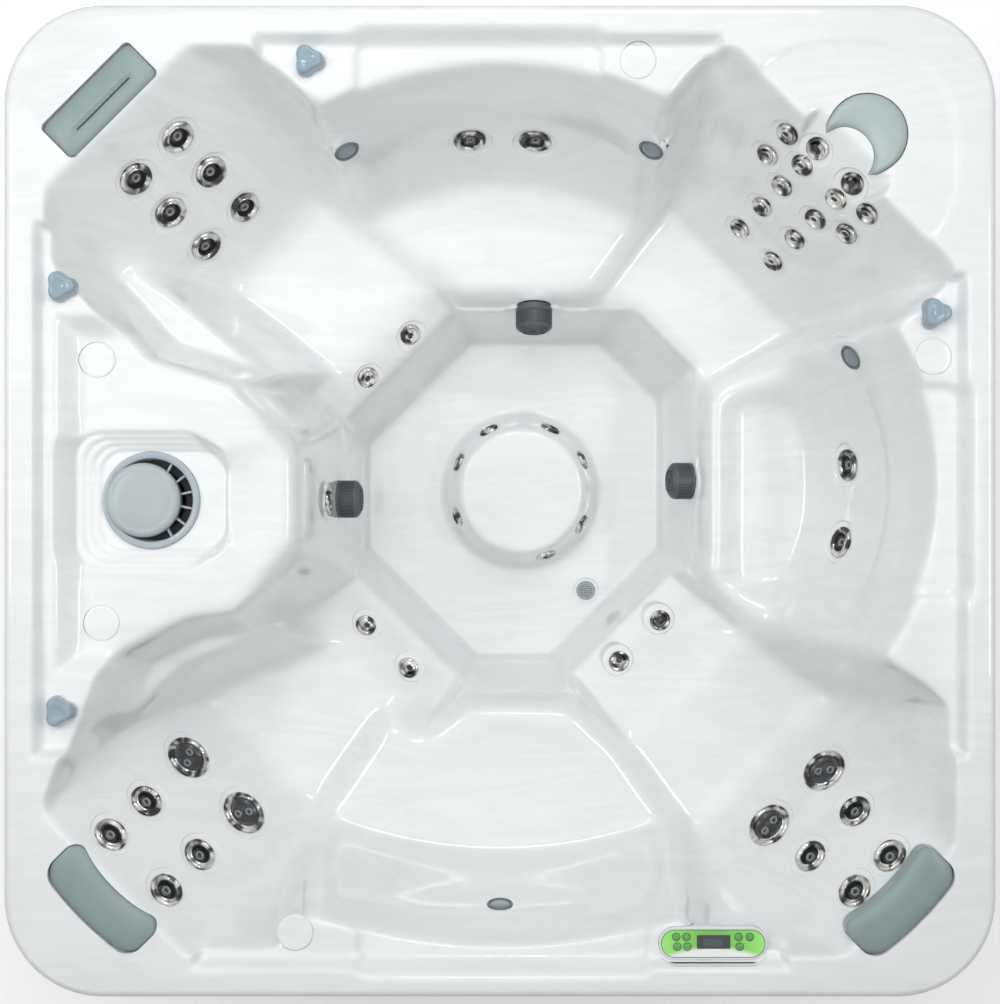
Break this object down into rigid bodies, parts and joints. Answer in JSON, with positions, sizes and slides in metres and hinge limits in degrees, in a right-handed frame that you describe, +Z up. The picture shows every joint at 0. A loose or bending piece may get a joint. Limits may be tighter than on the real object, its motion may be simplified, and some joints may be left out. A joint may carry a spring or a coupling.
{
  "type": "hot tub",
  "caption": "Square acrylic hot tub with moulded corner seats, benches, footwell, jets, pillows, filter well, topside control and a boxed cabinet.",
  "frame": {"origin": "centre of the flat base, on the ground", "axes": "+X to the right-hand bench, +Y to the far bench, +Z up; the control panel is on the near side, to the right"},
  "size_m": [2.134, 2.134, 0.9204],
  "materials": {
    "black_plastic": "matt black",
    "chrome_jets": "polished",
    "filter_paper": "pleated polyester",
    "grey_plastic": "satin moulded grey",
    "knob_blue_grey": "translucent blue-grey gloss",
    "pillow_grey": "satin foam skin",
    "slate_plastic": "satin dark slate",
    "white_acrylic": "gloss white marbled acrylic",
    "white_pvc": "satin PVC"
  },
  "bodies": {
    "tub": {"acrylic_shell": "white_acrylic", "back_panel": "grey_plastic", "base_pan": "black_plastic", "bottom_left_pillow": "pillow_grey", "bottom_right_pillow": "pillow_grey", "cabinet_frame": "grey_plastic", "circulation_pump": "black_plastic", "control_pack": "grey_plastic", "far_light_1": "grey_plastic", "far_light_2": "grey_plastic", "far_suction_cover": "slate_plastic", "filter_canister": "grey_plastic", "filter_cartridge": "filter_paper", "floor_drain": "slate_plastic", "front_panel": "grey_plastic", "jet_plumbing": "white_pvc", "jet_pump": "black_plastic", "left_suction_cover": "slate_plastic", "near_light": "grey_plastic", "right_light": "grey_plastic", "right_panel": "grey_plastic", "right_suction_cover": "slate_plastic", "top_left_pillow": "pillow_grey", "top_right_pillow": "pillow_grey", "topside_housing": "grey_plastic"},
    "bottom_left_jet_1": {"bottom_left_jet_1": "chrome_jets"},
    "bottom_left_jet_2": {"bottom_left_jet_2": "chrome_jets"},
    "bottom_left_jet_3": {"bottom_left_jet_3": "chrome_jets"},
    "bottom_left_jet_4": {"bottom_left_jet_4": "chrome_jets"},
    "bottom_left_rotor_1": {"bottom_left_rotor_1": "chrome_jets"},
    "bottom_left_rotor_2": {"bottom_left_rotor_2": "chrome_jets"},
    "bottom_right_jet_1": {"bottom_right_jet_1": "chrome_jets"},
    "bottom_right_jet_2": {"bottom_right_jet_2": "chrome_jets"},
    "bottom_right_jet_3": {"bottom_right_jet_3": "chrome_jets"},
    "bottom_right_jet_4": {"bottom_right_jet_4": "chrome_jets"},
    "bottom_right_rotor_1": {"bottom_right_rotor_1": "chrome_jets"},
    "bottom_right_rotor_2": {"bottom_right_rotor_2": "chrome_jets"},
    "far_bench_jet_1": {"far_bench_jet_1": "chrome_jets"},
    "far_bench_jet_2": {"far_bench_jet_2": "chrome_jets"},
    "right_bench_jet_1": {"right_bench_jet_1": "chrome_jets"},
    "right_bench_jet_2": {"right_bench_jet_2": "chrome_jets"},
    "top_left_jet_1": {"top_left_jet_1": "chrome_jets"},
    "top_left_jet_2": {"top_left_jet_2": "chrome_jets"},
    "top_left_jet_3": {"top_left_jet_3": "chrome_jets"},
    "top_left_jet_4": {"top_left_jet_4": "chrome_jets"},
    "top_left_jet_5": {"top_left_jet_5": "chrome_jets"},
    "top_left_jet_6": {"top_left_jet_6": "chrome_jets"},
    "far_knob": {"far_knob": "knob_blue_grey"},
    "right_knob": {"right_knob": "knob_blue_grey"},
    "left_far_knob": {"left_far_knob": "knob_blue_grey"},
    "left_near_knob": {"left_near_knob": "knob_blue_grey"},
    "button_1": {"button_1": "grey_plastic"},
    "button_2": {"button_2": "grey_plastic"},
    "button_3": {"button_3": "grey_plastic"},
    "button_4": {"button_4": "grey_plastic"},
    "button_5": {"button_5": "grey_plastic"},
    "button_6": {"button_6": "grey_plastic"},
    "button_7": {"button_7": "grey_plastic"},
    "filter_lid": {"filter_lid": "grey_plastic"},
    "access_panel": {"access_panel": "grey_plastic"}
  },
  "joints": [
    {"name": "bottom_left_jet_1_turn", "type": "hinge", "parent": "tub", "child": "bottom_left_jet_1", "pos_m": [-0.68165, -0.80327, 0.71856], "axis": [0.612, 0.612, 0.501], "range_deg": [0, 100]},
    {"name": "bottom_left_jet_2_turn", "type": "hinge", "parent": "tub", "child": "bottom_left_jet_2", "pos_m": [-0.80327, -0.68165, 0.71856], "axis": [0.612, 0.612, 0.501], "range_deg": [0, 100]},
    {"name": "bottom_left_jet_3_turn", "type": "hinge", "parent": "tub", "child": "bottom_left_jet_3", "pos_m": [-0.73115, -0.85277, 0.83949], "axis": [0.612, 0.612, 0.501], "range_deg": [0, 100]},
    {"name": "bottom_left_jet_4_turn", "type": "hinge", "parent": "tub", "child": "bottom_left_jet_4", "pos_m": [-0.85277, -0.73115, 0.83949], "axis": [0.612, 0.612, 0.501], "range_deg": [0, 100]},
    {"name": "bottom_left_rotor_1_turn", "type": "hinge", "parent": "tub", "child": "bottom_left_rotor_1", "pos_m": [-0.60953, -0.74105, 0.55721], "axis": [0.612, 0.612, 0.501], "continuous": true},
    {"name": "bottom_left_rotor_2_turn", "type": "hinge", "parent": "tub", "child": "bottom_left_rotor_2", "pos_m": [-0.74105, -0.60953, 0.55721], "axis": [0.612, 0.612, 0.501], "continuous": true},
    {"name": "bottom_right_jet_1_turn", "type": "hinge", "parent": "tub", "child": "bottom_right_jet_1", "pos_m": [0.816, -0.71276, 0.67972], "axis": [-0.6176, 0.6176, 0.4871], "range_deg": [0, 100]},
    {"name": "bottom_right_jet_2_turn", "type": "hinge", "parent": "tub", "child": "bottom_right_jet_2", "pos_m": [0.71276, -0.816, 0.67972], "axis": [-0.6176, 0.6176, 0.4871], "range_deg": [0, 100]},
    {"name": "bottom_right_jet_3_turn", "type": "hinge", "parent": "tub", "child": "bottom_right_jet_3", "pos_m": [0.85913, -0.78135, 0.82138], "axis": [-0.6176, 0.6176, 0.4871], "range_deg": [0, 100]},
    {"name": "bottom_right_jet_4_turn", "type": "hinge", "parent": "tub", "child": "bottom_right_jet_4", "pos_m": [0.78135, -0.85913, 0.82138], "axis": [-0.6176, 0.6176, 0.4871], "range_deg": [0, 100]},
    {"name": "bottom_right_rotor_1_turn", "type": "hinge", "parent": "tub", "child": "bottom_right_rotor_1", "pos_m": [0.77499, -0.64347, 0.53987], "axis": [-0.6175, 0.6175, 0.4872], "continuous": true},
    {"name": "bottom_right_rotor_2_turn", "type": "hinge", "parent": "tub", "child": "bottom_right_rotor_2", "pos_m": [0.64347, -0.77499, 0.53987], "axis": [-0.6175, 0.6175, 0.4872], "continuous": true},
    {"name": "far_bench_jet_1_turn", "type": "hinge", "parent": "tub", "child": "far_bench_jet_1", "pos_m": [-0.0707, 0.8473, 0.6], "axis": [0.0934, -0.9339, 0.3451], "range_deg": [0, 100]},
    {"name": "far_bench_jet_2_turn", "type": "hinge", "parent": "tub", "child": "far_bench_jet_2", "pos_m": [0.0825, 0.84602, 0.6], "axis": [-0.1089, -0.9322, 0.3451], "range_deg": [0, 100]},
    {"name": "right_bench_jet_1_turn", "type": "hinge", "parent": "tub", "child": "right_bench_jet_1", "pos_m": [0.82997, 0.086, 0.545], "axis": [-0.9385, -0.0793, 0.3361], "range_deg": [0, 100]},
    {"name": "right_bench_jet_2_turn", "type": "hinge", "parent": "tub", "child": "right_bench_jet_2", "pos_m": [0.81356, -0.098, 0.545], "axis": [-0.9089, 0.2491, 0.3343], "range_deg": [0, 100]},
    {"name": "top_left_jet_1_turn", "type": "hinge", "parent": "tub", "child": "top_left_jet_1", "pos_m": [-0.81176, 0.71842, 0.78235], "axis": [0.6022, -0.6022, 0.5241], "range_deg": [0, 100]},
    {"name": "top_left_jet_2_turn", "type": "hinge", "parent": "tub", "child": "top_left_jet_2", "pos_m": [-0.71842, 0.81176, 0.78235], "axis": [0.6022, -0.6022, 0.5241], "range_deg": [0, 100]},
    {"name": "top_left_jet_3_turn", "type": "hinge", "parent": "tub", "child": "top_left_jet_3", "pos_m": [-0.76014, 0.6668, 0.66451], "axis": [0.584, -0.584, 0.5638], "range_deg": [0, 100]},
    {"name": "top_left_jet_4_turn", "type": "hinge", "parent": "tub", "child": "top_left_jet_4", "pos_m": [-0.6668, 0.76014, 0.66451], "axis": [0.584, -0.584, 0.5638], "range_deg": [0, 100]},
    {"name": "top_left_jet_5_turn", "type": "hinge", "parent": "tub", "child": "top_left_jet_5", "pos_m": [-0.70357, 0.61023, 0.53651], "axis": [0.6021, -0.6021, 0.5243], "range_deg": [0, 100]},
    {"name": "top_left_jet_6_turn", "type": "hinge", "parent": "tub", "child": "top_left_jet_6", "pos_m": [-0.61023, 0.70357, 0.53651], "axis": [0.6021, -0.6021, 0.5243], "range_deg": [0, 100]},
    {"name": "far_knob_turn", "type": "hinge", "parent": "tub", "child": "far_knob", "pos_m": [-0.413, 0.95, 0.8883], "axis": [0, 0, 1], "range_deg": [0, 180]},
    {"name": "right_knob_turn", "type": "hinge", "parent": "tub", "child": "right_knob", "pos_m": [0.939, 0.405, 0.8883], "axis": [0, 0, 1], "range_deg": [0, 180]},
    {"name": "left_far_knob_turn", "type": "hinge", "parent": "tub", "child": "left_far_knob", "pos_m": [-0.946, 0.463, 0.8883], "axis": [0, 0, 1], "range_deg": [0, 180]},
    {"name": "left_near_knob_turn", "type": "hinge", "parent": "tub", "child": "left_near_knob", "pos_m": [-0.95, -0.454, 0.8883], "axis": [0, 0, 1], "range_deg": [0, 180]},
    {"name": "button_1_press", "type": "slide", "parent": "tub", "child": "button_1", "axis": [0, 0, -1], "range_m": [0, 0.001], "stiffness_N_per_m": 400},
    {"name": "button_2_press", "type": "slide", "parent": "tub", "child": "button_2", "axis": [0, 0, -1], "range_m": [0, 0.001], "stiffness_N_per_m": 400},
    {"name": "button_3_press", "type": "slide", "parent": "tub", "child": "button_3", "axis": [0, 0, -1], "range_m": [0, 0.001], "stiffness_N_per_m": 400},
    {"name": "button_4_press", "type": "slide", "parent": "tub", "child": "button_4", "axis": [0, 0, -1], "range_m": [0, 0.001], "stiffness_N_per_m": 400},
    {"name": "button_5_press", "type": "slide", "parent": "tub", "child": "button_5", "axis": [0, 0, -1], "range_m": [0, 0.001], "stiffness_N_per_m": 400},
    {"name": "button_6_press", "type": "slide", "parent": "tub", "child": "button_6", "axis": [0, 0, -1], "range_m": [0, 0.001], "stiffness_N_per_m": 400},
    {"name": "button_7_press", "type": "slide", "parent": "tub", "child": "button_7", "axis": [0, 0, -1], "range_m": [0, 0.001], "stiffness_N_per_m": 400},
    {"name": "filter_lid_lift", "type": "slide", "parent": "tub", "child": "filter_lid", "axis": [0, 0, 1], "range_m": [0, 0.15]},
    {"name": "access_panel_pull", "type": "slide", "parent": "tub", "child": "access_panel", "axis": [-1, 0, 0], "range_m": [0, 0.25]}
  ]
}
